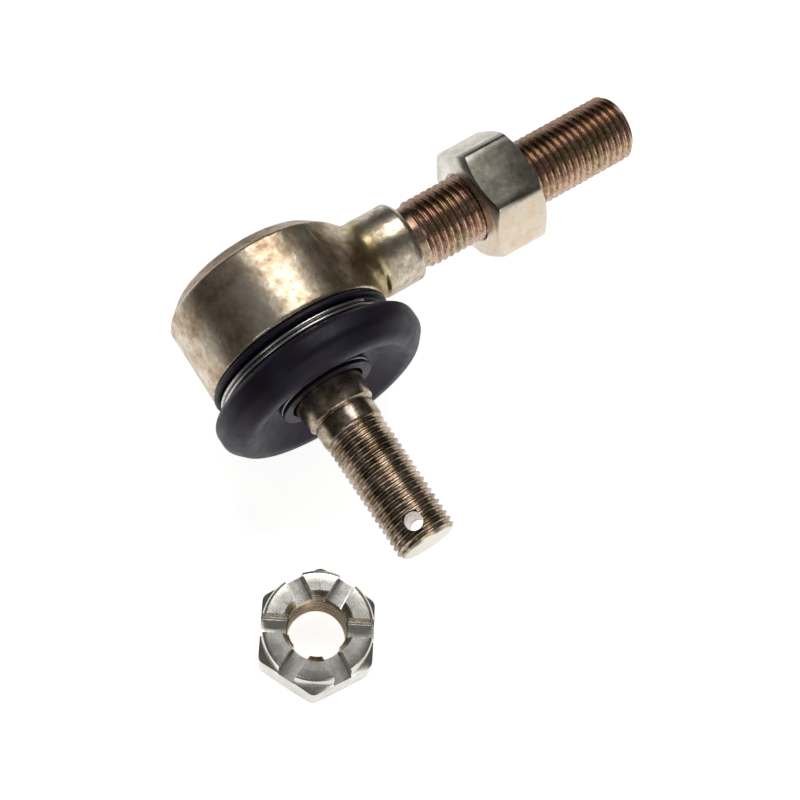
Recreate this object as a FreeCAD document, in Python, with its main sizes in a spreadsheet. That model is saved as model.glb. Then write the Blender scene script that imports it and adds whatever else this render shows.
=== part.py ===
import FreeCAD, Part
import math
import os

import Sketcher

# Tie rod end: a forged housing with a threaded shank, a ball stud under a rubber dust boot,
# a jam nut on the shank, and the stud's castle nut lying loose beside it.
#
# Frame, in millimetres: the origin is the centre of the ball. +X runs along the shank, the stud
# points along -Y, and +Z is up from the surface that the part lies on.

SIZES = {
    # ball and socket
    "ball_rad": 9.5,
    "ball_flat_y": 6.6,
    "socket_rad": 9.55,
    # head of the forging, turned about the Y axis
    "head_rad": 18.8,
    "head_wall_top_y": 7.0,
    "head_wall_low_y": -8.8,
    "head_top_y": 10.0,
    "head_top_rad": 15.7,
    "nose_rad": 16.0,
    "nose_end_y": -12.6,
    # cavity of the head
    "bore_rad": 14.2,
    "lip_inner_rad": 13.0,
    "lip_flare": 1.0,
    "seat_ledge_y": -7.0,
    "mouth_rad": 10.0,
    "mouth_neck_y": -8.2,
    "nose_mouth_rad": 13.4,
    # neck between the head and the collar: three oval sections, half widths along Z and Y
    "neck_root_x": 10.0,
    "neck_root_wide": 14.2,
    "neck_root_deep": 8.0,
    "neck_mid_x": 16.5,
    "neck_mid_wide": 10.4,
    "neck_mid_deep": 7.6,
    "neck_end_x": 22.0,
    "neck_end_wide": 8.0,
    "neck_end_deep": 7.4,
    "neck_rise": 0.3,
    # collar and threaded shank, turned about the X axis
    "bar_start_x": 15.6,
    "bar_core_rad": 6.0,
    "collar_start_x": 20.8,
    "collar_end_x": 29.7,
    "collar_rad": 8.0,
    "collar_edge": 0.9,
    "runout_rad": 6.4,
    "thread_start_x": 31.6,
    "thread_lead_in": 0.6,
    "shank_rad": 7.0,
    "shank_end_x": 81.2,
    "shank_chamfer": 1.1,
    # one root of the thread, cut as a groove where the free thread beyond the jam nut starts
    "free_thread_x": 56.6,
    "root_wide": 0.6,
    "root_deep": 0.85,
    # end cap under the rolled lip, and the disc spring below it
    "cap_rad": 14.2,
    "cap_low_y": 6.8,
    "cap_high_y": 8.4,
    "cap_dome_rad": 8.0,
    "cap_dome_low_y": 8.8,
    "cap_dome_high_y": 9.9,
    "spring_inner_rad": 8.4,
    "spring_outer_rad": 13.6,
    "spring_thick": 0.8,
    # ball seats, split a little above and below the ball's equator
    "seat_rad": 14.15,
    "seat_split": 0.2,
    "upper_seat_top_y": 5.2,
    "upper_seat_edge_rad": 8.01,
    "upper_seat_mid_rad": 9.19,
    "upper_seat_mid_y": 2.6,
    "lower_seat_edge_y": -5.3,
    "lower_seat_edge_rad": 7.95,
    "lower_seat_mid_rad": 9.17,
    "lower_seat_mid_y": -2.67,
    "lower_seat_mouth_rad": 9.0,
    # ball stud, turned about the Y axis
    "ball_flat_rad": 6.833,
    "ball_neck_y": -7.816,
    "neck_rad": 5.4,
    "neck_low_y": -11.0,
    "neck_flare_rad": 5.95,
    "neck_flare_y": -13.4,
    "shoulder_top_rad": 7.45,
    "shoulder_top_y": -15.5,
    "shoulder_low_rad": 6.75,
    "shoulder_low_y": -23.6,
    "shoulder_step_y": -24.2,
    "stud_plain_rad": 6.2,
    "stud_thread_rad": 6.0,
    "stud_thread_y": -27.5,
    "stud_thread_step": 0.2,
    "stud_tip_y": -53.2,
    "stud_chamfer": 1.0,
    "cotter_hole_rad": 1.75,
    "cotter_hole_y": -49.2,
    "cotter_turn": -14.0,
    # dust boot
    "boot_bore_rad": 16.05,
    "boot_top_y": -8.9,
    "boot_bead_rad": 19.0,
    "boot_bead_edge": 0.5,
    "boot_groove_rad": 17.55,
    "boot_groove_top_y": -10.2,
    "boot_groove_low_y": -12.65,
    "boot_shoulder_rad": 18.7,
    "boot_belly_rad": 21.8,
    "boot_belly_y": -16.4,
    "boot_under_rad": 18.2,
    "boot_under_y": -20.2,
    "boot_dish_rad": 10.8,
    "boot_dish_y": -19.0,
    "boot_lip_rad": 8.7,
    "boot_lip_root_y": -18.6,
    "boot_lip_end_y": -20.4,
    "boot_lip_bore_rad": 7.6,
    "boot_wall": 1.7,
    # wire rings on the boot
    "big_wire_rad": 0.45,
    "big_ring_rad": 18.05,
    "big_ring_y": -11.9,
    "big_ring_pitch": 0.94,
    "big_ring_start": 50.0,
    "small_wire_rad": 0.5,
    "small_ring_rad": 9.3,
    "small_ring_y": -19.6,
    # jam nut on the shank
    "jam_flats": 22.0,
    "jam_thick": 12.0,
    "jam_start_x": 44.3,
    "jam_turn": 6.0,
    "jam_face_rad": 10.4,
    "jam_corner_rad": 12.5,
    "jam_bore_rad": 7.05,
    # castle nut, its flat face on the floor
    "castle_flats": 21.0,
    "castle_tall": 15.0,
    "castle_slot_deep": 5.0,
    "castle_slot_wide": 3.5,
    "castle_crown_rad": 10.35,
    "castle_crown_foot": 10.7,
    "castle_crown_edge": 0.8,
    "castle_face_rad": 10.0,
    "castle_corner_rad": 12.0,
    "castle_bore_rad": 6.05,
    "castle_x": -24.1,
    "castle_y": -54.1,
    "castle_turn": 54.5,
    "floor_z": -21.8,
    "countersink": 0.6,
}

EDGE_SLOPE = math.tan(math.radians(30))  # slope of the chamfers on a nut's corners
HEX_SIDES = 6
CASTLE_SLOT_CUTS = 3  # each cut makes two opposite slots

doc = FreeCAD.newDocument("tie_rod_end")
sheet = doc.addObject("Spreadsheet::Sheet", "sizes")
for line, (word, value) in enumerate(SIZES.items(), start=1):
    sheet.set(f"A{line}", word)
    sheet.set(f"B{line}", str(value))
    sheet.setAlias(f"B{line}", word)
doc.recompute()


def amount(words):
    """The value of a sum of the sheet's words and numbers, such as "shank_end_x - 1.1"."""
    total = 0.0
    sign = 1.0
    for term in words.split():
        if term in "+-":
            sign = 1.0 if term == "+" else -1.0
        else:
            total += sign * (float(sheet.get(term)) if term in SIZES else float(term))
            sign = 1.0
    return total


def formula(words):
    """The same sum as an expression that reads the sheet."""
    return " ".join(f"sizes.{term}" if term in SIZES else term for term in words.split())


def bind(thing, **ways):
    """Tie properties to sums of the sheet's words. A double underscore stands for a dot."""
    for path, words in ways.items():
        thing.setExpression(path.replace("__", "."), formula(words))


def new_body(name):
    body = doc.addObject("PartDesign::Body", name)
    body.Label = name
    return body


def origin_feature(body, role):
    return next(f for f in body.Origin.OriginFeatures if f.Role == role)


def new_sketch(body, name, plane):
    sketch = body.newObject("Sketcher::SketchObject", name)
    sketch.AttachmentSupport = [(origin_feature(body, plane), "")]
    sketch.MapMode = "FlatFace"
    return sketch


def arc_through(start, middle, end):
    """A counter-clockwise arc through three points, and which of its ends is the last point."""
    circle = Part.Circle(start, middle, end)
    centre = circle.Center
    turn = (middle - start).cross(end - middle).z
    first, last = (start, end) if turn > 0 else (end, start)
    angles = [math.atan2(p.y - centre.y, p.x - centre.x) for p in (first, last)]
    base = Part.Circle(centre, FreeCAD.Vector(0, 0, 1), circle.Radius)
    return Part.ArcOfCircle(base, angles[0], angles[1]), 2 if turn > 0 else 1


def outline(sketch, corners):
    """A closed outline through corners, each dimensioned from the sketch's origin.

    A corner is (across, up), or (across, up, middle across, middle up) where an arc leads to it.
    """
    places = [FreeCAD.Vector(amount(c[0]), amount(c[1]), 0) for c in corners]
    ends = []
    base = sketch.GeometryCount
    for i, corner in enumerate(corners):
        if len(corner) == 4:
            middle = FreeCAD.Vector(amount(corner[2]), amount(corner[3]), 0)
            edge, last = arc_through(places[i - 1], middle, places[i])
        else:
            edge, last = Part.LineSegment(places[i - 1], places[i]), 2
        sketch.addGeometry(edge, False)
        ends.append((3 - last, last))
        if len(corner) == 4:
            sketch.addConstraint(Sketcher.Constraint("Radius", base + i, edge.Radius))
    for i, corner in enumerate(corners):
        follower = (i + 1) % len(corners)
        here = (base + i, ends[i][1])
        there = (base + follower, ends[follower][0])
        sketch.addConstraint(Sketcher.Constraint("Coincident", *here, *there))
        for kind, axis, words, value in (
            ("DistanceX", -2, corner[0], places[i].x),
            ("DistanceY", -1, corner[1], places[i].y),
        ):
            if value == 0:
                sketch.addConstraint(Sketcher.Constraint("PointOnObject", *here, axis))
            else:
                held = sketch.addConstraint(Sketcher.Constraint(kind, -1, 1, *here, value))
                sketch.setExpression(f"Constraints[{held}]", formula(words))


def turned(name, corners, about):
    """A body of revolution about the X axis or the Y axis of an outline in the XY plane."""
    body = new_body(name)
    sketch = new_sketch(body, name + "_outline", "XY_Plane")
    outline(sketch, corners)
    turn = body.newObject("PartDesign::Revolution", name + "_turn")
    turn.Profile = sketch
    turn.ReferenceAxis = (sketch, ["H_Axis" if about == "X" else "V_Axis"])
    turn.Angle = 360
    return body


def fused(name, shapes):
    whole = doc.addObject("Part::MultiFuse", name)
    whole.Shapes = shapes
    whole.Label = name
    return whole


def cut(name, base, tool):
    rest = doc.addObject("Part::Cut", name)
    rest.Base = base
    rest.Tool = tool
    rest.Label = name
    return rest


def neck_section(name, along, wide, deep):
    """One oval section of the neck, square to the shank."""
    oval = doc.addObject("Part::Ellipse", name)
    # the oval's long way lies along Z and its normal along X
    turn = FreeCAD.Rotation(
        FreeCAD.Vector(0, 0, 1), FreeCAD.Vector(0, -1, 0), FreeCAD.Vector(1, 0, 0)
    )
    oval.Placement = FreeCAD.Placement(FreeCAD.Vector(amount(along), amount("neck_rise"), 0), turn)
    bind(
        oval,
        MajorRadius=wide,
        MinorRadius=deep,
        Placement__Base__x=along,
        Placement__Base__y="neck_rise",
    )
    return oval


def neck():
    """The neck that runs from the head, wide and flat, to the round collar."""
    loft = doc.addObject("Part::Loft", "neck")
    loft.Sections = [
        neck_section("neck_root", "neck_root_x", "neck_root_wide", "neck_root_deep"),
        neck_section("neck_mid", "neck_mid_x", "neck_mid_wide", "neck_mid_deep"),
        neck_section("neck_end", "neck_end_x", "neck_end_wide", "neck_end_deep"),
    ]
    loft.Solid = True
    loft.Ruled = False
    return loft


def head_blank():
    """The head before it is bored: straight wall, sloping crown and the nose that seats the boot."""
    return turned(
        "head_blank",
        [
            ("0", "head_top_y"),
            ("0", "nose_end_y"),
            ("nose_rad", "nose_end_y"),
            ("nose_rad", "head_wall_low_y"),
            ("head_rad", "head_wall_low_y"),
            ("head_rad", "head_wall_top_y"),
            ("head_top_rad", "head_top_y"),
        ],
        "Y",
    )


def bar():
    """Collar, thread run-out and the shank, its thread standing as a plain cylinder."""
    return turned(
        "bar",
        [
            ("bar_start_x", "0"),
            ("shank_end_x", "0"),
            ("shank_end_x", "shank_rad - shank_chamfer"),
            ("shank_end_x - shank_chamfer", "shank_rad"),
            ("free_thread_x + root_wide", "shank_rad"),
            ("free_thread_x + root_wide", "shank_rad - root_deep"),
            ("free_thread_x", "shank_rad - root_deep"),
            ("free_thread_x", "shank_rad"),
            ("thread_start_x + thread_lead_in", "shank_rad"),
            ("thread_start_x", "runout_rad"),
            ("collar_end_x", "runout_rad"),
            ("collar_end_x", "collar_rad - collar_edge"),
            ("collar_end_x - collar_edge", "collar_rad"),
            ("collar_start_x", "collar_rad"),
            ("collar_start_x", "bar_core_rad"),
            ("bar_start_x", "bar_core_rad"),
        ],
        "X",
    )


def cavity():
    """What the head is bored out by: cap seat, ball seat bore, ledge and flared mouth."""
    return turned(
        "cavity",
        [
            ("0", "head_top_y + 1"),
            ("0", "nose_end_y - 1"),
            ("nose_mouth_rad", "nose_end_y - 1"),
            ("nose_mouth_rad", "nose_end_y"),
            ("mouth_rad", "mouth_neck_y"),
            ("mouth_rad", "seat_ledge_y"),
            ("bore_rad", "seat_ledge_y"),
            ("bore_rad", "cap_high_y"),
            ("lip_inner_rad", "cap_high_y"),
            ("lip_inner_rad", "head_top_y - lip_flare"),
            ("lip_inner_rad + lip_flare", "head_top_y"),
            ("lip_inner_rad + lip_flare", "head_top_y + 1"),
        ],
        "Y",
    )


def housing():
    """The forging: head, neck, collar and threaded shank in one piece, bored for the ball."""
    return cut("housing", fused("forging", [head_blank(), neck(), bar()]), cavity())


def end_cap():
    """The pressed cover plate that the rolled lip holds in the top of the head."""
    return turned(
        "end_cap",
        [
            ("0", "cap_dome_high_y"),
            ("0", "cap_dome_low_y"),
            ("cap_dome_rad - 1", "cap_dome_low_y"),
            ("cap_dome_rad + 1", "cap_low_y"),
            ("cap_rad", "cap_low_y"),
            ("cap_rad", "cap_high_y"),
            ("cap_dome_rad + 2", "cap_high_y"),
            ("cap_dome_rad", "cap_dome_high_y"),
        ],
        "Y",
    )


def preload_spring():
    """The disc spring that presses the upper seat onto the ball."""
    return turned(
        "preload_spring",
        [
            ("spring_inner_rad", "cap_low_y"),
            ("spring_inner_rad", "cap_low_y - spring_thick"),
            ("spring_outer_rad", "upper_seat_top_y"),
            ("spring_outer_rad", "upper_seat_top_y + spring_thick"),
        ],
        "Y",
    )


def upper_ball_seat():
    return turned(
        "upper_ball_seat",
        [
            ("seat_rad", "seat_split"),
            ("seat_rad", "upper_seat_top_y"),
            ("upper_seat_edge_rad", "upper_seat_top_y"),
            ("socket_rad", "seat_split", "upper_seat_mid_rad", "upper_seat_mid_y"),
        ],
        "Y",
    )


def lower_ball_seat():
    return turned(
        "lower_ball_seat",
        [
            ("seat_rad", "- seat_split"),
            ("socket_rad", "- seat_split"),
            ("lower_seat_edge_rad", "lower_seat_edge_y", "lower_seat_mid_rad", "lower_seat_mid_y"),
            ("lower_seat_mouth_rad", "seat_ledge_y"),
            ("seat_rad", "seat_ledge_y"),
        ],
        "Y",
    )


def ball_stud():
    """Ball, neck, shoulder and threaded end, with the hole for a cotter pin."""
    body = turned(
        "ball_stud",
        [
            ("0", "ball_flat_y"),
            ("0", "stud_tip_y"),
            ("stud_thread_rad - stud_chamfer", "stud_tip_y"),
            ("stud_thread_rad", "stud_tip_y + stud_chamfer"),
            ("stud_thread_rad", "stud_thread_y"),
            ("stud_plain_rad", "stud_thread_y + stud_thread_step"),
            ("stud_plain_rad", "shoulder_step_y"),
            ("shoulder_low_rad", "shoulder_low_y"),
            ("shoulder_top_rad", "shoulder_top_y"),
            ("neck_rad", "neck_low_y", "neck_flare_rad", "neck_flare_y"),
            ("neck_rad", "ball_neck_y"),
            ("ball_flat_rad", "ball_flat_y", "ball_rad", "0"),
        ],
        "Y",
    )
    ring = new_sketch(body, "cotter_outline", "XY_Plane")
    ring.addGeometry(
        Part.Circle(
            FreeCAD.Vector(0, amount("cotter_hole_y"), 0),
            FreeCAD.Vector(0, 0, 1),
            amount("cotter_hole_rad"),
        ),
        False,
    )
    ring.addConstraint(Sketcher.Constraint("PointOnObject", 0, 3, -2))
    low = ring.addConstraint(Sketcher.Constraint("DistanceY", -1, 1, 0, 3, amount("cotter_hole_y")))
    ring.setExpression(f"Constraints[{low}]", formula("cotter_hole_y"))
    wide = ring.addConstraint(Sketcher.Constraint("Radius", 0, amount("cotter_hole_rad")))
    ring.setExpression(f"Constraints[{wide}]", formula("cotter_hole_rad"))
    hole = body.newObject("PartDesign::Pocket", "cotter_hole")
    hole.Profile = ring
    hole.Type = "ThroughAll"
    hole.Midplane = True
    body.Placement = FreeCAD.Placement(
        FreeCAD.Vector(), FreeCAD.Rotation(FreeCAD.Vector(0, 1, 0), amount("cotter_turn"))
    )
    return body


def dust_boot():
    """The rubber boot: bead on the nose, groove for the wire, belly, dished underside and lip."""
    return turned(
        "dust_boot",
        [
            ("boot_bore_rad", "boot_top_y"),
            ("boot_bore_rad", "boot_groove_low_y - 0.5"),
            (
                "boot_under_rad - 1",
                "boot_under_y + boot_wall",
                "boot_belly_rad - boot_wall",
                "boot_belly_y",
            ),
            ("boot_dish_rad", "boot_dish_y + boot_wall"),
            ("boot_lip_bore_rad", "boot_lip_root_y + boot_wall"),
            ("boot_lip_bore_rad", "boot_lip_end_y"),
            ("boot_lip_rad", "boot_lip_end_y"),
            ("boot_lip_rad", "boot_lip_root_y"),
            ("boot_dish_rad", "boot_dish_y"),
            ("boot_under_rad", "boot_under_y"),
            ("boot_shoulder_rad", "boot_groove_low_y", "boot_belly_rad", "boot_belly_y"),
            ("boot_groove_rad", "boot_groove_low_y"),
            ("boot_groove_rad", "boot_groove_top_y"),
            ("boot_bead_rad", "boot_groove_top_y"),
            ("boot_bead_rad", "boot_top_y - boot_bead_edge"),
            ("boot_bead_rad - boot_bead_edge", "boot_top_y"),
        ],
        "Y",
    )


def boot_wire_large():
    """The spring wire round the boot's groove: one whole turn, and half a turn beside it."""
    towards_stud = FreeCAD.Vector(0, -1, 0)
    flat = FreeCAD.Rotation(FreeCAD.Vector(1, 0, 0), 90)
    turns = []
    for name, place, start, sweep in (
        ("whole_turn", "big_ring_y", 0.0, 360.0),
        ("half_turn", "big_ring_y + big_ring_pitch", amount("big_ring_start"), 180.0),
    ):
        turn = doc.addObject("Part::Torus", name)
        turn.Placement = FreeCAD.Placement(
            FreeCAD.Vector(0, amount(place), 0),
            FreeCAD.Rotation(towards_stud, start).multiply(flat),
        )
        turn.Angle3 = sweep
        bind(turn, Radius1="big_ring_rad", Radius2="big_wire_rad", Placement__Base__y=place)
        turns.append(turn)
    wire = doc.addObject("Part::Compound", "boot_wire_large")
    wire.Links = turns
    return wire


def boot_wire_small():
    """The wire ring that holds the boot's lip to the stud's shoulder."""
    ring = doc.addObject("Part::Torus", "boot_wire_small")
    ring.Placement = FreeCAD.Placement(
        FreeCAD.Vector(0, amount("small_ring_y"), 0), FreeCAD.Rotation(FreeCAD.Vector(1, 0, 0), 90)
    )
    bind(ring, Radius1="small_ring_rad", Radius2="small_wire_rad", Placement__Base__y="small_ring_y")
    return ring


def nut_blank(name, flats, bore, corner, low_face, tall, high_end):
    """A hexagon nut along its own X axis, with one corner towards its own Y axis.

    The high end's outline is given from its end face outwards to the corners' radius.
    """
    prism = doc.addObject("Part::Prism", name + "_hexagon")
    prism.Polygon = HEX_SIDES
    prism.setExpression("Circumradius", f"sizes.{flats} / sqrt(3)")
    bind(prism, Height=tall)
    prism.Placement = FreeCAD.Placement(
        FreeCAD.Vector(),
        FreeCAD.Rotation(
            FreeCAD.Vector(0, 1, 0), FreeCAD.Vector(0, 0, 1), FreeCAD.Vector(1, 0, 0)
        ),
    )
    low_drop = (amount(corner) - amount(low_face)) * EDGE_SLOPE
    ring = turned(
        name + "_turning",
        [
            ("0", f"{bore} + countersink"),
            ("countersink", bore),
            (f"{tall} - countersink", bore),
            (tall, f"{bore} + countersink"),
            *high_end,
            (f"{low_drop:.4f}", corner),
            ("0", low_face),
        ],
        "X",
    )
    nut = doc.addObject("Part::Common", name)
    nut.Base = prism
    nut.Tool = ring
    return nut


def jam_nut():
    """The jam nut part of the way along the shank, one corner turned a little off the Y axis."""
    drop = amount("jam_corner_rad - jam_face_rad") * EDGE_SLOPE
    nut = nut_blank(
        "jam_nut",
        "jam_flats",
        "jam_bore_rad",
        "jam_corner_rad",
        "jam_face_rad",
        "jam_thick",
        [("jam_thick", "jam_face_rad"), (f"jam_thick - {drop:.4f}", "jam_corner_rad")],
    )
    nut.Placement = FreeCAD.Placement(
        FreeCAD.Vector(amount("jam_start_x"), 0, 0),
        FreeCAD.Rotation(FreeCAD.Vector(1, 0, 0), amount("jam_turn")),
    )
    bind(nut, Placement__Base__x="jam_start_x", Placement__Rotation__Angle="jam_turn")
    return nut


def castle_nut():
    """The castle nut, standing on its flat face, six slots cut across its turned crown."""
    drop = amount("castle_corner_rad - castle_crown_rad") * EDGE_SLOPE
    blank = nut_blank(
        "castle_blank",
        "castle_flats",
        "castle_bore_rad",
        "castle_corner_rad",
        "castle_face_rad",
        "castle_tall",
        [
            ("castle_tall", "castle_crown_rad - castle_crown_edge"),
            ("castle_tall - castle_crown_edge", "castle_crown_rad"),
            ("castle_crown_foot", "castle_crown_rad"),
            (f"castle_crown_foot - {drop:.4f}", "castle_corner_rad"),
        ],
    )
    cutters = []
    reach = 2 * amount("castle_corner_rad")
    for i in range(CASTLE_SLOT_CUTS):
        cutter = doc.addObject("Part::Box", f"castle_slot_{i + 1}")
        cutter.Height = 2 * reach
        bind(cutter, Length="castle_slot_deep + 1", Width="castle_slot_wide")
        # the cutter lies across the nut, through the middle of two flats
        square = FreeCAD.Placement(
            FreeCAD.Vector(
                amount("castle_tall - castle_slot_deep"), -amount("castle_slot_wide") / 2, -reach
            ),
            FreeCAD.Rotation(),
        )
        turn = FreeCAD.Rotation(FreeCAD.Vector(1, 0, 0), 360 / HEX_SIDES * i)
        cutter.Placement = FreeCAD.Placement(FreeCAD.Vector(), turn).multiply(square)
        cutters.append(cutter)
    nut = cut("castle_nut", blank, fused("castle_slots", cutters))
    upright = FreeCAD.Rotation(
        FreeCAD.Vector(0, 0, 1), FreeCAD.Vector(1, 0, 0), FreeCAD.Vector(0, 1, 0)
    )
    around = FreeCAD.Rotation(FreeCAD.Vector(0, 0, 1), amount("castle_turn"))
    nut.Placement = FreeCAD.Placement(
        FreeCAD.Vector(amount("castle_x"), amount("castle_y"), amount("floor_z")),
        around.multiply(upright),
    )
    bind(
        nut,
        Placement__Base__x="castle_x",
        Placement__Base__y="castle_y",
        Placement__Base__z="floor_z",
    )
    return nut


def check(node, all_objects):
    """Stop with a plain message if anything failed to build."""
    for thing in all_objects:
        if {"Invalid", "Error"} & set(thing.State):
            raise RuntimeError(f"{thing.Label} failed: {thing.State}")
    if node.Shape.isNull() or not node.Shape.isValid() or not node.Shape.Solids:
        raise RuntimeError(f"{node.Label} has no valid solid")


def main():
    stud = ball_stud()
    nodes = [
        housing(),
        end_cap(),
        preload_spring(),
        upper_ball_seat(),
        lower_ball_seat(),
        stud,
        dust_boot(),
        boot_wire_large(),
        boot_wire_small(),
        jam_nut(),
        castle_nut(),
    ]
    doc.recompute()
    for node in nodes:
        check(node, doc.Objects)
    turned_stud = doc.getObject("ball_stud_turn").Shape.Volume
    if turned_stud - stud.Shape.Volume < 1:
        raise RuntimeError("the cotter hole cut nothing from the stud")
    os.makedirs("parts", exist_ok=True)
    for node in nodes:
        node.Shape.exportStep(f"parts/{node.Label}.step")
        box = node.Shape.optimalBoundingBox()
        print(
            f"{node.Label}: {node.Shape.Volume:.0f} mm3, {len(node.Shape.Solids)} solid(s), "
            f"x {box.XMin:.1f}..{box.XMax:.1f}, y {box.YMin:.1f}..{box.YMax:.1f}, "
            f"z {box.ZMin:.1f}..{box.ZMax:.1f}"
        )


main()
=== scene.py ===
import math

import bmesh
import bpy
import numpy as np
from mathutils import Matrix, Vector, noise


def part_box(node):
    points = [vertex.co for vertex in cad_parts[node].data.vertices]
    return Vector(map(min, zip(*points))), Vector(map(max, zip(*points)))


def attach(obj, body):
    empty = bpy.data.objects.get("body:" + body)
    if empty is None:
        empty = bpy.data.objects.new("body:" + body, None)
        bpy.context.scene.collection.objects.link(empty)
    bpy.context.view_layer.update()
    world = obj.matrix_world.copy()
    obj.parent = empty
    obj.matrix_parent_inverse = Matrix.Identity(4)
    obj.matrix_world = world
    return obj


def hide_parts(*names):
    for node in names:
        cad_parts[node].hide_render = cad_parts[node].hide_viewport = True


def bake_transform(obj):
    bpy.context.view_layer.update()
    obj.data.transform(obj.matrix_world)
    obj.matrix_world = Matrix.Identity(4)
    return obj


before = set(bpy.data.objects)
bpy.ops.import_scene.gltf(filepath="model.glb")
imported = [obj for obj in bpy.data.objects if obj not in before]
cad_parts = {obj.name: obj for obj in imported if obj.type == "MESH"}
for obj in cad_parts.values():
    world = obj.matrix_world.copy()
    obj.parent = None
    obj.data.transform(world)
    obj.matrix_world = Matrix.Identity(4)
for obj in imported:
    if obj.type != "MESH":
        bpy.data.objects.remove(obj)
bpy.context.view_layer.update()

# The tie rod end of the frame, in fine detail. Lengths here are millimetres, made metres in mesh_object.
# Angles round the stud go from +X towards +Z; angles round the shank go from +Y towards +Z.
MM = 0.001
TURN = 2 * math.pi


def node_box(node):
    return [np.array(corner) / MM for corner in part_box(node)]


housing_low, housing_high = node_box("housing")
stud_low, stud_high = node_box("ball_stud")
jam_low, jam_high = node_box("jam_nut")
castle_low, castle_high = node_box("castle_nut")
boot_high = node_box("dust_boot")[1]
big_wire_low, big_wire_high = node_box("boot_wire_large")
small_wire_high = node_box("boot_wire_small")[1]
cap_low, cap_high = node_box("end_cap")

HEAD_RAD = -housing_low[0]
HEAD_TOP = housing_high[1]
NOSE_END = housing_low[1]
SHANK_END = housing_high[0]
STUD_TIP = stud_low[1]
FLOOR_Z = castle_low[2]
CAP_RAD = cap_high[0]
BOOT_RAD = boot_high[0]

COLLAR_START, COLLAR_END, COLLAR_RAD = 20.8, 29.7, 8.0
RUNOUT_RAD = 6.4
SHANK_THREAD_START = 31.4
SHANK_PITCH, SHANK_CREST, SHANK_ROOT = 1.5, 7.0, 6.15
STUD_PITCH, STUD_CREST, STUD_ROOT = 1.25, 6.0, 5.45
STUD_PLAIN_RAD = 6.2
STUD_THREAD_START = -27.5
COTTER_Y, COTTER_RAD, COTTER_TURN = -49.2, 1.75, math.radians(14)
LIP_WIRE_Y = -17.75
NUT_CLEARANCE = 0.05  # between a nut's thread and the shank's, all round
EDGE_SLOPE = math.tan(math.radians(30))  # slope of the chamfers on a nut's corners
JAM_FLATS, JAM_FACE_RAD, JAM_TURN = 22.0, 10.4, math.radians(6)
CASTLE_FLATS, CASTLE_FACE_RAD = 21.0, 10.0
CASTLE_CROWN_RAD, CASTLE_CROWN_FOOT = 10.35, 10.7
CASTLE_SLOT_DEEP, CASTLE_SLOT_WIDE, CASTLE_TURN = 5.0, 3.5, math.radians(54.5)
CASTLE_CENTRE = (castle_low + castle_high) / 2
SLOT_ANGLES = [CASTLE_TURN + TURN / 12 + k * TURN / 6 for k in range(3)]
FLOOR_MIDDLE = (0.02, -0.03, FLOOR_Z * MM)  # metres


# ---------------------------------------------------------------- mesh making


def mesh_object(name, points, faces, smooth_angle=32):
    """A mesh object from points in millimetres, its doubled points merged and normals outward."""
    made = bmesh.new()
    for p in points:
        made.verts.new(p)
    made.verts.ensure_lookup_table()
    for face in faces:
        made.faces.new([made.verts[i] for i in face])
    bmesh.ops.remove_doubles(made, verts=made.verts, dist=0.002)
    bmesh.ops.dissolve_degenerate(made, edges=made.edges, dist=0.0005)
    bmesh.ops.recalc_face_normals(made, faces=made.faces)
    bmesh.ops.scale(made, vec=(MM, MM, MM), verts=made.verts)
    mesh = bpy.data.meshes.new(name)
    made.to_mesh(mesh)
    made.free()
    mesh.shade_smooth()
    mesh.set_sharp_from_angle(angle=math.radians(smooth_angle))
    thing = bpy.data.objects.new(name, mesh)
    bpy.context.scene.collection.objects.link(thing)
    return thing


def rounded(corners, steps=5):
    """A closed outline through corners (across, up, radius), each corner an arc of that radius."""
    points = []
    for i, (across, up, radius) in enumerate(corners):
        here = np.array([across, up], float)
        if radius == 0:
            points.append(here)
            continue
        back = np.array(corners[i - 1][:2]) - here
        ahead = np.array(corners[(i + 1) % len(corners)][:2]) - here
        back, ahead = back / np.linalg.norm(back), ahead / np.linalg.norm(ahead)
        half = math.acos(np.clip(back @ ahead, -1, 1)) / 2
        centre = here + (back + ahead) / np.linalg.norm(back + ahead) * radius / math.sin(half)
        start = here + back * radius / math.tan(half) - centre
        end = here + ahead * radius / math.tan(half) - centre
        sweep = math.atan2(start[0] * end[1] - start[1] * end[0], start @ end)
        for k in range(steps + 1):
            c, s = math.cos(sweep * k / steps), math.sin(sweep * k / steps)
            points.append(centre + np.array([c * start[0] - s * start[1], s * start[0] + c * start[1]]))
    return np.array(points)


def on_stud(radius, angle, y):
    return np.stack([radius * np.cos(angle), y, radius * np.sin(angle)], -1)


def on_shank(radius, angle, x):
    return np.stack([x, radius * np.cos(angle), radius * np.sin(angle)], -1)


def on_castle(radius, angle, height):
    a = angle + CASTLE_TURN
    x = CASTLE_CENTRE[0] + radius * np.cos(a)
    y = CASTLE_CENTRE[1] + radius * np.sin(a)
    return np.stack([x, y, FLOOR_Z + height], -1)


def even_angles(count):
    """One whole turn, its last angle the same direction as its first."""
    return np.linspace(0, TURN, count + 1)


def hexagon_angles(per_side, corner_width=0.012):
    """One whole turn with more angles close to the six corners, at 0, 60, 120 degrees and so on."""
    between = np.linspace(0, TURN / 6, per_side + 1)[1:-1]
    near = corner_width * np.array([0, 1, 2.2])
    side = np.concatenate([near, between, TURN / 6 - near[:0:-1]])
    return np.append(np.concatenate([side + TURN / 6 * k for k in range(6)]), TURN)


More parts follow.
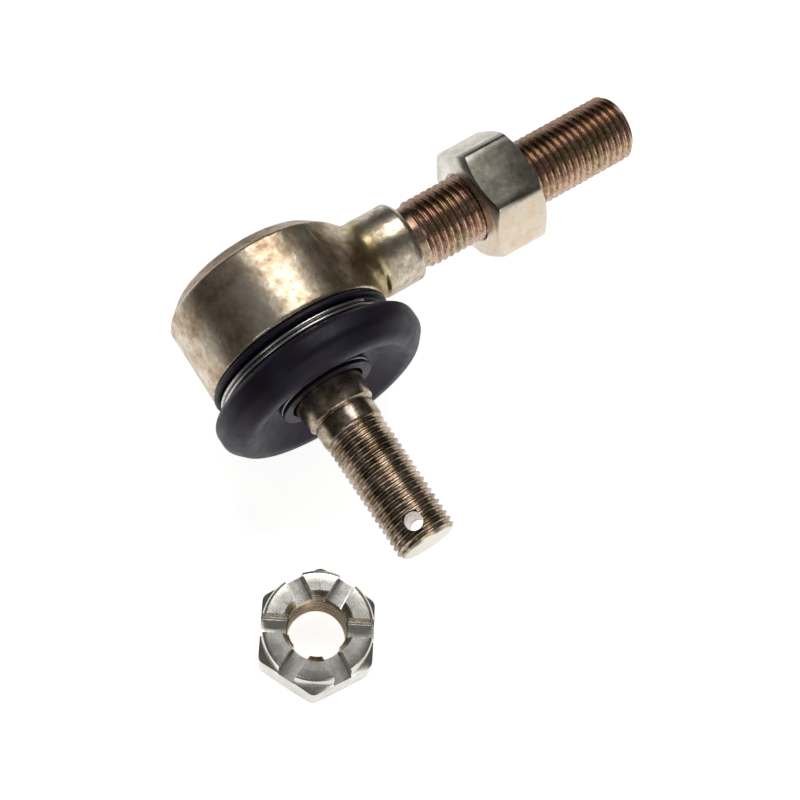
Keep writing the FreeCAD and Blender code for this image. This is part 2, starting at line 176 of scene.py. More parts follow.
def skin(name, place, angles, rows, closed=False, smooth_angle=32):
    """A surface through rows (radius, along), each an amount or one for every angle."""
    grid = [
        place(np.broadcast_to(radius, angles.shape), angles, np.broadcast_to(along, angles.shape))
        for radius, along in rows
    ]
    points = np.concatenate(grid)
    wide = len(angles)
    pairs = [(i, i + 1) for i in range(len(rows) - 1)] + ([(len(rows) - 1, 0)] if closed else [])
    faces = [
        (a * wide + j, a * wide + j + 1, b * wide + j + 1, b * wide + j)
        for a, b in pairs
        for j in range(wide - 1)
    ]
    return mesh_object(name, points, faces, smooth_angle)


def turned(name, place, outline, segments=128, closed=True, smooth_angle=32):
    """A body turned from an outline of (radius, along)."""
    return skin(name, place, even_angles(segments), [tuple(p) for p in outline], closed, smooth_angle)


def thread_height(phase):
    """Height of a thread's profile, 1 on the crest and 0 in the root, as a function of turns."""
    from_crest = 2 * np.abs((phase + 0.5) % 1 - 0.5)
    slope = np.clip((from_crest - 0.10) / 0.70, 0, 1)
    return 1 - 0.6 * slope - 0.4 * slope * slope * (3 - 2 * slope)


def thread_rows(angles, lead, start, end, radius_at):
    """Rows that follow a helix of that lead from start to end. radius_at takes (height, along)."""
    steps = np.array([0, 0.05, 0.09, 0.16, 0.24, 0.32, 0.38, 0.42, 0.5])
    per_turn = np.concatenate([steps, 1 - steps[-2:0:-1]])
    shift = lead * angles / TURN
    low, high = min(start, end), max(start, end)
    pitch = abs(lead)
    first = math.floor(low / pitch) - 2
    last = math.ceil(high / pitch) + 2
    rows = []
    for base in (pitch * (k + step) for k in range(first, last) for step in per_turn):
        along = np.clip(base + shift, low, high)
        if along.max() - along.min() < 1e-9 and rows and np.ptp(rows[-1][1]) < 1e-9:
            rows.pop()
        height = thread_height((along - shift) / pitch)
        rows.append((radius_at(height, along), along))
    return rows if start < end else rows[::-1]


def fade(value, start, width):
    """0 before start, 1 after start + width, smooth between."""
    t = np.clip((value - start) / width, 0, 1)
    return t * t * (3 - 2 * t)


def joined(thing, other, operation):
    """thing after a boolean with other, which is then gone."""
    step = thing.modifiers.new(operation, "BOOLEAN")
    step.operation = operation
    step.solver = "EXACT"
    step.object = other
    bpy.context.view_layer.update()
    graph = bpy.context.evaluated_depsgraph_get()
    mesh = bpy.data.meshes.new_from_object(thing.evaluated_get(graph))
    thing.modifiers.remove(step)
    thing.data = mesh
    bpy.data.objects.remove(other)
    return thing


# ---------------------------------------------------------------- level surfaces, for the forging


def polygon_distance(q, corners):
    """Signed distance from points to a polygon, negative inside it."""
    near = np.full(len(q), np.inf)
    inside = np.zeros(len(q), bool)
    for a, b in zip(corners, np.roll(corners, -1, axis=0)):
        side, away = b - a, q - a
        share = np.clip(away @ side / (side @ side), 0, 1)
        near = np.minimum(near, ((away - share[:, None] * side) ** 2).sum(1))
        if side[1] != 0:
            crosses = (a[1] > q[:, 1]) != (b[1] > q[:, 1])
            inside ^= crosses & (q[:, 0] < a[0] + (q[:, 1] - a[1]) * side[0] / side[1])
    return np.where(inside, -1, 1) * np.sqrt(near)


def smooth_low(a, b, width):
    """The lower of two distances, with a soft fillet about that wide."""
    h = np.maximum(width - np.abs(a - b), 0) / width
    return np.minimum(a, b) - h * h * h * width / 6


def level_surface(field, low, high, step):
    """Points and quads over the zero level of a distance field, between the corners low and high."""
    axes = [np.arange(a, b + step, step) for a, b in zip(low, high)]
    grid = np.stack(np.meshgrid(*axes, indexing="ij"), -1)
    value = field(grid.reshape(-1, 3)).reshape(grid.shape[:3])
    cells = np.array(value.shape) - 1
    total = np.zeros((*cells, 3))
    count = np.zeros(tuple(cells))
    edges = []
    for axis in range(3):
        ahead = np.moveaxis(value, axis, 0)
        v0, v1 = ahead[:-1, 1:-1, 1:-1], ahead[1:, 1:-1, 1:-1]
        i, j, k = np.nonzero((v0 < 0) != (v1 < 0))
        share = v0[i, j, k] / (v0[i, j, k] - v1[i, j, k])
        others = [a for a in range(3) if a != axis]
        corner = np.zeros((len(i), 3), int)
        corner[:, axis], corner[:, others[0]], corner[:, others[1]] = i, j + 1, k + 1
        point = corner.astype(float)
        point[:, axis] += share
        around = []
        for da, db in ((0, 0), (-1, 0), (-1, -1), (0, -1)):
            cell = corner.copy()
            cell[:, others[0]] += da
            cell[:, others[1]] += db
            np.add.at(total, tuple(cell.T), point)
            np.add.at(count, tuple(cell.T), 1)
            around.append(np.ravel_multi_index(tuple(cell.T), tuple(cells)))
        edges.append(np.stack(around, 1))
    used = np.nonzero(count.ravel())[0]
    number = np.full(count.size, -1)
    number[used] = np.arange(len(used))
    points = total.reshape(-1, 3)[used] / count.ravel()[used, None] * step + np.array(low)
    return points, number[np.concatenate(edges)]


def field_slope(field, points, reach=0.02):
    steps = np.eye(3) * reach
    return np.stack([(field(points + d) - field(points - d)) / (2 * reach) for d in steps], 1)


def drawn_to_level(field, points, rounds=4):
    for _ in range(rounds):
        slope = field_slope(field, points)
        size = np.maximum((slope**2).sum(1), 0.05)
        move = -(field(points) / size)[:, None] * slope
        length = np.linalg.norm(move, axis=1, keepdims=True)
        points = points + move * np.minimum(1, 0.15 / np.maximum(length, 1e-9))
    return points


EDGE = 0.7  # rounding of the forging's outer edges
NOSE_RAD, NOSE_TOP = 16.0, -8.8
RIM_START, RIM_TOP_RAD, RIM_EDGE = 7.0, 15.7, 0.3  # the slope of the rim rolled over the cap
THROAT_RAD, THROAT_TOP, THROAT_LOW = 10.0, -7.0, -8.2
NOSE_BORE_RAD = 13.4
RIM_BORE_RAD, RIM_LOW, RIM_FLARE = 13.0, 8.4, 1.0
head_core = np.array(
    [
        (-1, HEAD_TOP - EDGE),
        (-1, NOSE_END + EDGE),
        (NOSE_RAD - EDGE, NOSE_END + EDGE),
        (NOSE_RAD - EDGE, NOSE_TOP + EDGE),
        (HEAD_RAD - EDGE, NOSE_TOP + EDGE),
        (HEAD_RAD - EDGE, RIM_START - RIM_EDGE),
        (RIM_TOP_RAD - RIM_EDGE, HEAD_TOP - EDGE),
    ]
)
cavity_core = np.array(
    [
        (-1, HEAD_TOP + 2),
        (-1, NOSE_END - 2),
        (NOSE_BORE_RAD, NOSE_END - 2),
        (NOSE_BORE_RAD, NOSE_END),
        (THROAT_RAD, THROAT_LOW),
        (THROAT_RAD, THROAT_TOP),
        (CAP_RAD, THROAT_TOP),
        (CAP_RAD, RIM_LOW),
        (RIM_BORE_RAD, RIM_LOW),
        (RIM_BORE_RAD, HEAD_TOP - RIM_FLARE),
        (RIM_BORE_RAD + RIM_FLARE, HEAD_TOP),
        (RIM_BORE_RAD + RIM_FLARE, HEAD_TOP + 2),
    ]
)
NECK_X = np.array([-9.0, -3.0, 4.0, 10.0, 16.5, 22.0, 28.0])
NECK_WIDE = np.array([3.0, 12.0, 15.4, 14.2, 10.3, 8.0, 7.9])
NECK_DEEP = np.array([2.5, 6.5, 8.2, 7.9, 7.4, 7.6, 7.8])
NECK_RISE = 0.3


def bar_distance(p, start, end, radius, edge):
    """Distance to a round bar along X, its ends rounded by edge."""
    out = np.hypot(p[:, 1], p[:, 2]) - (radius - edge)
    past = np.maximum(start + edge - p[:, 0], p[:, 0] - end + edge)
    outside = np.hypot(np.maximum(out, 0), np.maximum(past, 0))
    return outside + np.minimum(np.maximum(out, past), 0) - edge


def neck_distance(p):
    """Distance to the oval neck, wide at the head and round at the collar."""
    # an average over a few millimetres rounds off the changes of slope at the stations
    near = p[:, :1] + np.linspace(-3.0, 3.0, 9)
    wide = np.interp(near, NECK_X, NECK_WIDE).mean(1)
    deep = np.interp(near, NECK_X, NECK_DEEP).mean(1)
    up = p[:, 1] - NECK_RISE
    size = np.hypot(p[:, 2] / wide, up / deep)
    steep = np.hypot(p[:, 2] / wide**2, up / deep**2)
    oval = size * (size - 1) / np.maximum(steep, 1e-6)
    return np.maximum(oval, np.maximum(NECK_X[0] - p[:, 0], p[:, 0] - NECK_X[-1]))


def forging_distance(p):
    radius = np.hypot(p[:, 0], p[:, 2])
    q = np.stack([radius, p[:, 1]], 1)
    head = polygon_distance(q, head_core) - EDGE
    body = smooth_low(head, neck_distance(p), 5.0)
    # the collar runs smoothly out of the neck above and stands a little proud of it below
    collar_fillet = 0.9 + 3.0 * fade(p[:, 1], -5.5, 4.0)
    body = smooth_low(body, bar_distance(p, COLLAR_START, COLLAR_END, COLLAR_RAD, 0.9), collar_fillet)
    # the forging's pair of faint upright lines where the neck runs into the head
    azimuth = np.abs(np.arctan2(p[:, 2], p[:, 0]))
    for degrees in (58, 62):
        line = np.exp(-(((azimuth - math.radians(degrees)) * HEAD_RAD / 0.3) ** 2))
        body = body - 0.035 * line * (radius > 17) * fade(8.0 - p[:, 1], 0, 3)
    cavity = polygon_distance(q, cavity_core)
    return -smooth_low(-body, cavity, 0.5)


def forged_skin(points, slope):
    """The unevenness of a forged and blasted surface, as a height along each point's normal."""
    height = np.empty(len(points))
    for i, p in enumerate(points):
        wave = noise.fractal(Vector(p) * 0.16, 1.0, 2.0, 3)
        grain = noise.fractal(Vector(p) * 0.9, 0.8, 2.1, 3)
        height[i] = 0.05 * wave + 0.018 * grain
    radius = np.hypot(points[:, 0], points[:, 2])
    outside = fade(radius, 15.0, 1.5) * fade(points[:, 1], -9.0, 0.6)
    return points + slope * (height * outside)[:, None]


def forging():
    """Head, neck and collar as one blended forging, bored for the ball."""
    low = (-HEAD_RAD - 1, NOSE_END - 1, -HEAD_RAD - 1)
    high = (COLLAR_END + 1, HEAD_TOP + 1, HEAD_RAD + 1)
    points, faces = level_surface(forging_distance, low, high, 0.34)
    points = drawn_to_level(forging_distance, points)
    slope = field_slope(forging_distance, points)
    slope /= np.linalg.norm(slope, axis=1, keepdims=True)
    points = forged_skin(points, slope)
    return mesh_object("housing_forging", points, faces, smooth_angle=50)


# ---------------------------------------------------------------- pieces


def shank():
    """The run-out and the rolled thread of the shank, down to its chamfered end."""
    angles = even_angles(96)
    chamfer = 1.1

    def radius_at(height, along):
        depth = fade(along, SHANK_THREAD_START, 1.4)
        full = SHANK_ROOT + (SHANK_CREST - SHANK_ROOT) * height
        radius = RUNOUT_RAD + depth * (full - RUNOUT_RAD)
        return np.minimum(radius, SHANK_CREST - chamfer + (SHANK_END - along))

    inside = COLLAR_END - 1.0
    thread = thread_rows(angles, SHANK_PITCH, SHANK_THREAD_START, SHANK_END, radius_at)
    tip_rad = SHANK_CREST - chamfer
    rows = [(0, inside), (RUNOUT_RAD, inside), (RUNOUT_RAD, COLLAR_END + 0.6)]
    rows += thread
    rows += [(tip_rad - 0.3, SHANK_END), (1.6, SHANK_END), (1.1, SHANK_END - 0.5), (0, SHANK_END - 0.8)]
    return skin("shank_thread", on_shank, angles, rows)


def stud():
    """Ball, neck, shoulder and threaded end of the ball stud, with its cotter hole."""
    angles = even_angles(96)
    chamfer = 1.0

    def radius_at(height, along):
        depth = fade(STUD_THREAD_START - along, 0, 1.2)
        full = STUD_ROOT + (STUD_CREST - STUD_ROOT) * height
        radius = STUD_PLAIN_RAD + depth * (full - STUD_PLAIN_RAD)
        return np.minimum(radius, STUD_CREST - chamfer + (along - STUD_TIP) * 1.1)

    ball_rad, neck_rad = 9.5, 5.4
    flat_y, neck_y = stud_high[1], -math.sqrt(ball_rad**2 - neck_rad**2)
    ball = [
        (ball_rad * math.cos(a), ball_rad * math.sin(a))
        for a in np.linspace(math.asin(flat_y / ball_rad), math.asin(neck_y / ball_rad), 40)
    ]
    waist = rounded(
        [
            (neck_rad, neck_y, 0),
            (neck_rad, -11.6, 1.6),
            (7.45, -15.0, 1.2),
            (6.75, -23.7, 0.3),
            (6.0, -24.1, 0.15),
            (6.0, -24.35, 0.1),
            (STUD_PLAIN_RAD, -24.55, 0.1),
            (STUD_PLAIN_RAD, STUD_THREAD_START, 0),
        ]
    )
    thread = thread_rows(angles, -STUD_PITCH, STUD_THREAD_START, STUD_TIP, radius_at)
    tip = [(STUD_CREST - chamfer - 0.25, STUD_TIP), (2.0, STUD_TIP), (0, STUD_TIP)]
    rows = [(0, flat_y), *ball, *map(tuple, waist), *thread, *tip]
    piece = skin("stud_with_thread", on_stud, angles, rows)
    flare = COTTER_RAD + 0.45
    outer = STUD_CREST + 0.6
    pin = [(0, -outer - 1), (flare + 1, -outer - 1), (flare, -outer + 0.6), (COTTER_RAD, -outer + 1.3)]
    pin += [(radius, -along) for radius, along in pin[::-1]]
    cutter = turned("cotter_cutter", on_stud, np.array(pin), 40, closed=False)
    upright = Matrix.Rotation(math.radians(90), 4, "X")
    cutter.matrix_world = (
        Matrix.Translation((0, COTTER_Y * MM, 0)) @ Matrix.Rotation(-COTTER_TURN, 4, "Y") @ upright
    )
    piece = joined(piece, cutter, "DIFFERENCE")
    piece.data.shade_smooth()
    piece.data.set_sharp_from_angle(angle=math.radians(32))
    return piece


def hexagon(angles, flats, edge=0.25):
    """Radius of a hexagon at each angle, its corners at 0, 60 degrees and so on a little rounded."""
    off_flat = (angles + TURN / 12) % (TURN / 6) - TURN / 12
    off_flat = TURN / 12 - np.abs(off_flat)
    radius = flats / 2 / np.cos(off_flat)
    corner = flats / math.sqrt(3) - edge
    return smooth_low(radius, np.full_like(radius, corner), 0.3)


def nut_rows(angles, flats, low_face, bore_rows, high_end, cone_rad, cone_top):
    """Rows round a hexagon nut's section, its edges slightly rounded.

    high_end is the outline of the high end outwards from the bore, down to the point (cone_rad,
    cone_top), where the cone that cuts the corners starts.
    """
    side = hexagon(angles, flats)
    soft = 0.16
    low_drop = (side - low_face) * EDGE_SLOPE
    high_side = cone_top - (side - cone_rad) * EDGE_SLOPE
    return [
        *bore_rows,
        *high_end,
        (side - soft, high_side + soft * EDGE_SLOPE),
        (side - 0.04, high_side - 0.01),
        (side, high_side - soft),
        (side, (low_drop + high_side) / 2),
        (side, low_drop + soft),
        (side - 0.04, low_drop + 0.01),
        (side - soft, low_drop - soft * EDGE_SLOPE),
        (low_face + soft, soft * EDGE_SLOPE),
        (low_face + 0.04, 0.03),
        (low_face - soft, 0),
        ((bore_rows[0][0] + low_face) / 2, 0),
    ]


def nut_bore(angles, pitch, crest, root, start, tall, sink):
    """Rows of a nut's own thread from face to face, opened by a cone at both ends.

    start is where the bore begins along the thread that it runs on.
    """

    def radius_at(height, along):
        radius = root + NUT_CLEARANCE + (crest - root) * height
        cone = crest + sink - np.minimum(along - start, start + tall - along)
        return np.maximum(radius, cone)

    rows = thread_rows(angles, pitch, start, start + tall, radius_at)
    mouth = crest + sink
    inner = [(radius, along - start) for radius, along in rows]
    return [(mouth, 0), *inner, (mouth, tall)]


def jam_nut():
    """The jam nut, its thread in step with the shank's."""
    angles = hexagon_angles(16)
    start = jam_low[0]
    tall = jam_high[0] - start
    # the nut's own angles start a little off the Y axis, so its thread is shifted to match the shank's
    shift = SHANK_PITCH * JAM_TURN / TURN
    bore = nut_bore(angles, SHANK_PITCH, SHANK_CREST, SHANK_ROOT, start - shift, tall, 0.5)
    face = JAM_FACE_RAD
    high_end = [(9.0, tall), (face - 0.16, tall), (face + 0.04, tall - 0.03), (face + 0.16, tall - 0.09)]
    rows = nut_rows(angles, JAM_FLATS, face, bore, high_end, face, tall)

    def place(radius, angle, along):
        return on_shank(radius, angle + JAM_TURN, start + along)

    return skin("jam_nut_detailed", place, angles, rows, closed=True, smooth_angle=28)


def castle_nut():
    """The castle nut with its thread, six slots and softly crowned castellations."""
    angles = hexagon_angles(16)
    tall = castle_high[2] - castle_low[2]
    bore = nut_bore(angles, STUD_PITCH, STUD_CREST, STUD_ROOT, 0, tall, 0.6)
    crown, foot = CASTLE_CROWN_RAD, CASTLE_CROWN_FOOT
    edge = (crown, tall, 0.85)
    outline = rounded([(8.0, tall, 0), edge, (crown, foot, 0.1), (crown + 0.1, foot - 0.05, 0)])
    high_end = [tuple(point) for point in outline]
    rows = nut_rows(angles, CASTLE_FLATS, CASTLE_FACE_RAD, bore, high_end, crown, foot)
    nut = skin("castle_nut_detailed", on_castle, angles, rows, closed=True, smooth_angle=28)
    reach = CASTLE_FLATS
    half = CASTLE_SLOT_WIDE / 2
    floor = tall - CASTLE_SLOT_DEEP
    section = rounded([(-half, floor, 0.3), (half, floor, 0.3), (half, tall + 2, 0), (-half, tall + 2, 0)], 3)
    for k, a in enumerate(SLOT_ANGLES):
        across = np.array([-math.sin(a), math.cos(a)])
        along = np.array([math.cos(a), math.sin(a)])
        points = []
        for end in (-reach, reach):
            for s, height in section:
                x, y = CASTLE_CENTRE[:2] + along * end + across * s
                points.append((x, y, FLOOR_Z + height))
        n = len(section)
        faces = [(i, (i + 1) % n, n + (i + 1) % n, n + i) for i in range(n)]
        faces += [tuple(range(n))[::-1], tuple(range(n, 2 * n))]
        nut = joined(nut, mesh_object(f"slot_cutter_{k}", points, faces), "DIFFERENCE")
    bevel = nut.modifiers.new("soft_edges", "BEVEL")
    bevel.width, bevel.segments = 0.12 * MM, 2
    bevel.limit_method, bevel.angle_limit = "ANGLE", math.radians(45)
    bevel.use_clamp_overlap = True
    nut.data.shade_smooth()
    nut.data.set_sharp_from_angle(angle=math.radians(32))
    return nut


def boot():
    """The rubber boot: bead, wire groove, round belly and a dished underside down to its lip."""
    top = boot_high[1]
    wall = 1.7
    dish, lip_end, lip_inside = -17.3, -18.95, -16.4
    bore, flange = 7.6, 9.6
    lip = 8.75  # outside of the lip's neck, where the wire ring sits
    outer = rounded(
        [
            (16.05, top, 0.3),
            (19.0, top, 0.6),
            (19.0, -10.2, 0.45),
            (17.55, -10.2, 0.3),
            (17.55, -12.65, 0.3),
            (18.9, -12.65, 0.5),
            (BOOT_RAD, -14.0, 1.6),
            (BOOT_RAD, -17.6, 2.4),
            (19.2, -20.5, 2.6),
            (16.8, -20.45, 2.0),
            (11.9, dish, 1.4),
            (lip, dish, 0.4),
            (lip, -18.2, 0.1),
            (flange, -18.35, 0.15),
            (flange, lip_end, 0.15),
            (bore, lip_end, 0.2),
            (bore, lip_inside, 0.4),
            (11.6, lip_inside, 1.2),
            (16.6, -20.4 + wall, 1.2),
            (18.6, -20.2 + wall, 2.0),
            (BOOT_RAD - wall, -17.2, 1.6),
            (BOOT_RAD - wall, -15.0, 1.2),
            (16.05, -13.3, 0.6),
        ],
        steps=6,
    )
    piece = turned("dust_boot_rubber", on_stud, outer, 160, smooth_angle=70)
    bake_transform(piece)
    return piece


def wire(name, azimuths, radius, heights, thick, sides=14):
    """A wire bent round the stud's axis through azimuths and heights, its ends rounded over."""
    centres = on_stud(np.full_like(azimuths, radius), azimuths, heights)
    ahead = np.gradient(centres, axis=0)
    ahead /= np.linalg.norm(ahead, axis=1, keepdims=True)
    out = on_stud(np.ones_like(azimuths), azimuths, np.zeros_like(azimuths))
    up = np.cross(ahead, out)
    tips = np.linspace(0, math.pi / 2, 6)[1:]
    sections = [(centres[0] - ahead[0] * thick * math.sin(t), 0, math.cos(t)) for t in tips[::-1]]
    sections += [(centre, i, 1.0) for i, centre in enumerate(centres)]
    sections += [(centres[-1] + ahead[-1] * thick * math.sin(t), -1, math.cos(t)) for t in tips]
    around = even_angles(sides)
    points = [
        centre + thick * share * (math.cos(a) * out[i] + math.sin(a) * up[i])
        for centre, i, share in sections
        for a in around
    ]
    wide = len(around)
    faces = [
        (i * wide + j, i * wide + j + 1, (i + 1) * wide + j + 1, (i + 1) * wide + j)
        for i in range(len(sections) - 1)
        for j in range(sides)
    ]
    return mesh_object(name, points, faces, smooth_angle=60)


def big_wire():
    """One and a half turns of spring wire in the boot's groove."""
    thick = 0.4
    radius = big_wire_high[0] - 0.45
    low, high = big_wire_low[1] + 0.45, big_wire_high[1] - 0.45
    azimuths = np.radians(np.linspace(50, 585, 360))
    heights = high + (low - high) * fade(np.degrees(azimuths), 205, 60)
    return wire("boot_wire_coil", azimuths, radius, heights, thick)


def small_wire():
    """The spring ring in the groove of the boot's lip, its ends a little apart."""
    thick = 0.42
    azimuths = np.radians(np.linspace(-30, 318, 200))
    heights = np.full_like(azimuths, LIP_WIRE_Y)
    return wire("boot_lip_wire", azimuths, small_wire_high[0] - 0.5, heights, thick)


def cover():
    """The pressed end cap with its raised middle."""
    low, high = cap_low[1], cap_high[1]
    outline = rounded(
        [
            (0, high, 0),
            (0, high - 1.1, 0),
            (7.0, high - 1.1, 1.0),
            (9.0, low, 1.0),
            (CAP_RAD, low, 0.2),
            (CAP_RAD, low + 1.6, 0.4),
            (10.0, low + 1.6, 1.2),
            (8.0, high, 1.2),
        ]
    )
    return turned("end_cap_pressed", on_stud, outline, 128)


# ---------------------------------------------------------------- materials


class Shader:
    """A node material under construction. Values may be numbers, colours or other nodes' outputs."""

    def __init__(self, name, **settings):
        self.material = bpy.data.materials.new(name)
        self.material.use_nodes = True
        self.tree = self.material.node_tree
        self.surface = self.tree.nodes["Principled BSDF"]
        self.place = self.add("ShaderNodeTexCoord").outputs["Object"]
        for socket, value in settings.items():
            self.surface.inputs[socket.replace("_", " ")].default_value = value

    def add(self, kind, inputs=None, **settings):
        made = self.tree.nodes.new(kind)
        for key, value in settings.items():
            setattr(made, key, value)
        for key, value in (inputs or {}).items():
            self.give(made.inputs[key], value)
        return made

    def give(self, socket, value):
        if isinstance(value, bpy.types.NodeSocket):
            self.tree.links.new(value, socket)
        else:
            socket.default_value = value

    def noise(self, size, detail=4.0, roughness=0.55, stretch=None):
        """Noise whose marks are about that many millimetres across."""
        place = self.place
        if stretch:
            place = self.add("ShaderNodeMapping", {"Vector": place, "Scale": stretch}).outputs[0]
        inputs = {"Vector": place, "Scale": 1 / (size * MM), "Detail": detail, "Roughness": roughness}
        return self.add("ShaderNodeTexNoise", inputs).outputs["Fac"]

    def ramp(self, value, stops):
        """Colours or amounts along a value; each stop is (where, colour)."""
        made = self.add("ShaderNodeValToRGB", {"Fac": value})
        band = made.color_ramp
        while len(band.elements) < len(stops):
            band.elements.new(0.5)
        for element, (where, colour) in zip(band.elements, stops):
            element.position = where
            element.color = (colour,) * 3 + (1,) if isinstance(colour, (int, float)) else (*colour, 1)
        return made.outputs["Color"]

    def mix(self, share, first, second, how="MIX"):
        made = self.add("ShaderNodeMix", data_type="RGBA", blend_type=how)
        self.give(made.inputs["Factor"], share)
        self.give(made.inputs["A"], first if isinstance(first, bpy.types.NodeSocket) else (*first, 1))
        self.give(made.inputs["B"], second if isinstance(second, bpy.types.NodeSocket) else (*second, 1))
        return made.outputs["Result"]

    def maths(self, how, *values):
        made = self.add("ShaderNodeMath", operation=how)
        for socket, value in zip(made.inputs, values):
            self.give(socket, value)
        return made.outputs[0]

    def band(self, axis, start, end):
        """0 below start and 1 above end, in millimetres along an axis, 0 for X."""
        part = self.add("ShaderNodeSeparateXYZ", {"Vector": self.place}).outputs[axis]
        inputs = {"Value": part, "From Min": start * MM, "From Max": end * MM}
        return self.add("ShaderNodeMapRange", inputs).outputs["Result"]

    def bump(self, value, height, under=None):
        """A bump of that many millimetres."""
        inputs = {"Height": value, "Strength": 1.0, "Distance": height * MM}
        made = self.add("ShaderNodeBump", inputs)
        if under is not None:
            self.give(made.inputs["Normal"], under)
        return made.outputs["Normal"]

    def finish(self, colour, roughness, normal):
        self.give(self.surface.inputs["Base Color"], colour)
        self.give(self.surface.inputs["Roughness"], roughness)
        self.give(self.surface.inputs["Normal"], normal)
        return self.material


def worn_and_highlit_edges(shader, colour, bright):
    """Lighter metal along the edges: wear, with a painted highlight where the edges catch the light."""
    point = shader.add("ShaderNodeNewGeometry").outputs["Pointiness"]
    edge = shader.ramp(point, [(0.52, 0.0), (0.56, 0.7)])
    return shader.mix(edge, colour, bright)


def forged_steel():
    """Champagne zinc with brown clouds and small dark pits, olive on the neck."""
    s = Shader("forged_champagne", Metallic=1.0)
    cloud = s.noise(9.0, 5.0, 0.6)
    mottle = s.noise(1.6, 6.0, 0.62)
    brown, tan, cream = (0.36, 0.26, 0.17), (0.62, 0.51, 0.38), (0.84, 0.76, 0.64)
    colour = s.ramp(cloud, [(0.36, brown), (0.48, tan), (0.62, cream)])
    patch = s.ramp(mottle, [(0.34, (0.50, 0.42, 0.33)), (0.50, (0.86, 0.81, 0.74)), (0.64, (1.0, 1.0, 1.0))])
    colour = s.mix(0.6, colour, patch, "MULTIPLY")
    neck = s.maths("MULTIPLY", s.band(0, 13.0, 18.0), s.maths("SUBTRACT", 1.0, s.band(0, 21.0, 23.0)))
    olive = s.mix(0.8, colour, (0.62, 0.58, 0.34), "MULTIPLY")
    colour = s.mix(neck, colour, olive)
    collar = s.maths("MULTIPLY", s.band(0, 21.5, 24.0), 0.55)
    colour = s.mix(collar, colour, s.ramp(mottle, [(0.35, (0.30, 0.26, 0.20)), (0.6, (0.68, 0.62, 0.52))]))
    # painted shade: a dark brown on the slope of the rim rolled over the cap, standing in for the dark
    # surroundings it reflects
    rolled = s.maths("MULTIPLY", s.band(1, 7.0, 7.7), s.maths("SUBTRACT", 1.0, s.band(1, 9.4, 9.8)))
    rim_shade_colour = s.mix(1.0, colour, (0.34, 0.25, 0.18), "MULTIPLY")
    colour = s.mix(s.maths("MULTIPLY", rolled, 0.85), colour, rim_shade_colour)
    pits = s.ramp(s.noise(0.55, 2.0, 0.5), [(0.24, 0.0), (0.31, 1.0)])
    colour = s.mix(pits, (0.20, 0.15, 0.10), colour)
    rough = s.ramp(mottle, [(0.3, 0.38), (0.7, 0.24)])
    normal = s.bump(s.noise(0.35, 4.0, 0.6), 0.007, s.bump(mottle, 0.025, s.bump(pits, 0.02)))
    return s.finish(colour, rough, normal)


def thread_steel():
    """Chromated thread: brown, with gold, copper and rose shifting over it."""
    s = Shader("thread_chromate", Metallic=1.0)
    hue = s.noise(5.0, 3.0, 0.6)
    colour = s.ramp(
        hue,
        [
            (0.32, (0.44, 0.36, 0.25)),
            (0.44, (0.66, 0.54, 0.38)),
            (0.52, (0.72, 0.52, 0.41)),
            (0.60, (0.70, 0.50, 0.46)),
            (0.70, (0.66, 0.60, 0.46)),
        ],
    )
    stain = s.ramp(s.noise(0.9, 5.0, 0.65), [(0.36, (0.42, 0.32, 0.22)), (0.56, (1.0, 1.0, 1.0))])
    colour = s.mix(0.7, colour, stain, "MULTIPLY")
    # painted shade: the side away from the stud is made browner and less bright
    away = s.maths("MULTIPLY", s.band(1, -4.0, 0.5), 0.85)
    colour = s.mix(away, colour, s.mix(1.0, colour, (0.38, 0.30, 0.25), "MULTIPLY"))
    rough = s.ramp(s.noise(0.6, 3.0), [(0.3, 0.34), (0.7, 0.20)])
    normal = s.bump(s.noise(0.25, 3.0, 0.6), 0.003)
    return s.finish(colour, rough, normal)


def stud_steel():
    """Olive and brown-yellow chromate, paler on the cut end."""
    s = Shader("stud_chromate", Metallic=1.0)
    cloud = s.noise(4.0, 5.0, 0.6)
    colour = s.ramp(
        cloud,
        [
            (0.34, (0.24, 0.18, 0.12)),
            (0.46, (0.42, 0.34, 0.25)),
            (0.56, (0.62, 0.51, 0.42)),
            (0.68, (0.66, 0.52, 0.48)),
        ],
    )
    stain = s.ramp(s.noise(0.8, 5.0, 0.65), [(0.35, (0.40, 0.34, 0.22)), (0.56, (1.0, 1.0, 1.0))])
    colour = s.mix(0.7, colour, stain, "MULTIPLY")
    end = s.maths("SUBTRACT", 1.0, s.band(1, STUD_TIP + 0.05, STUD_TIP + 0.25))
    colour = s.mix(end, colour, (0.78, 0.73, 0.62))
    rough = s.ramp(s.noise(0.5, 3.0), [(0.3, 0.28), (0.7, 0.16)])
    normal = s.bump(s.noise(0.22, 3.0, 0.6), 0.004)
    return s.finish(colour, rough, normal)


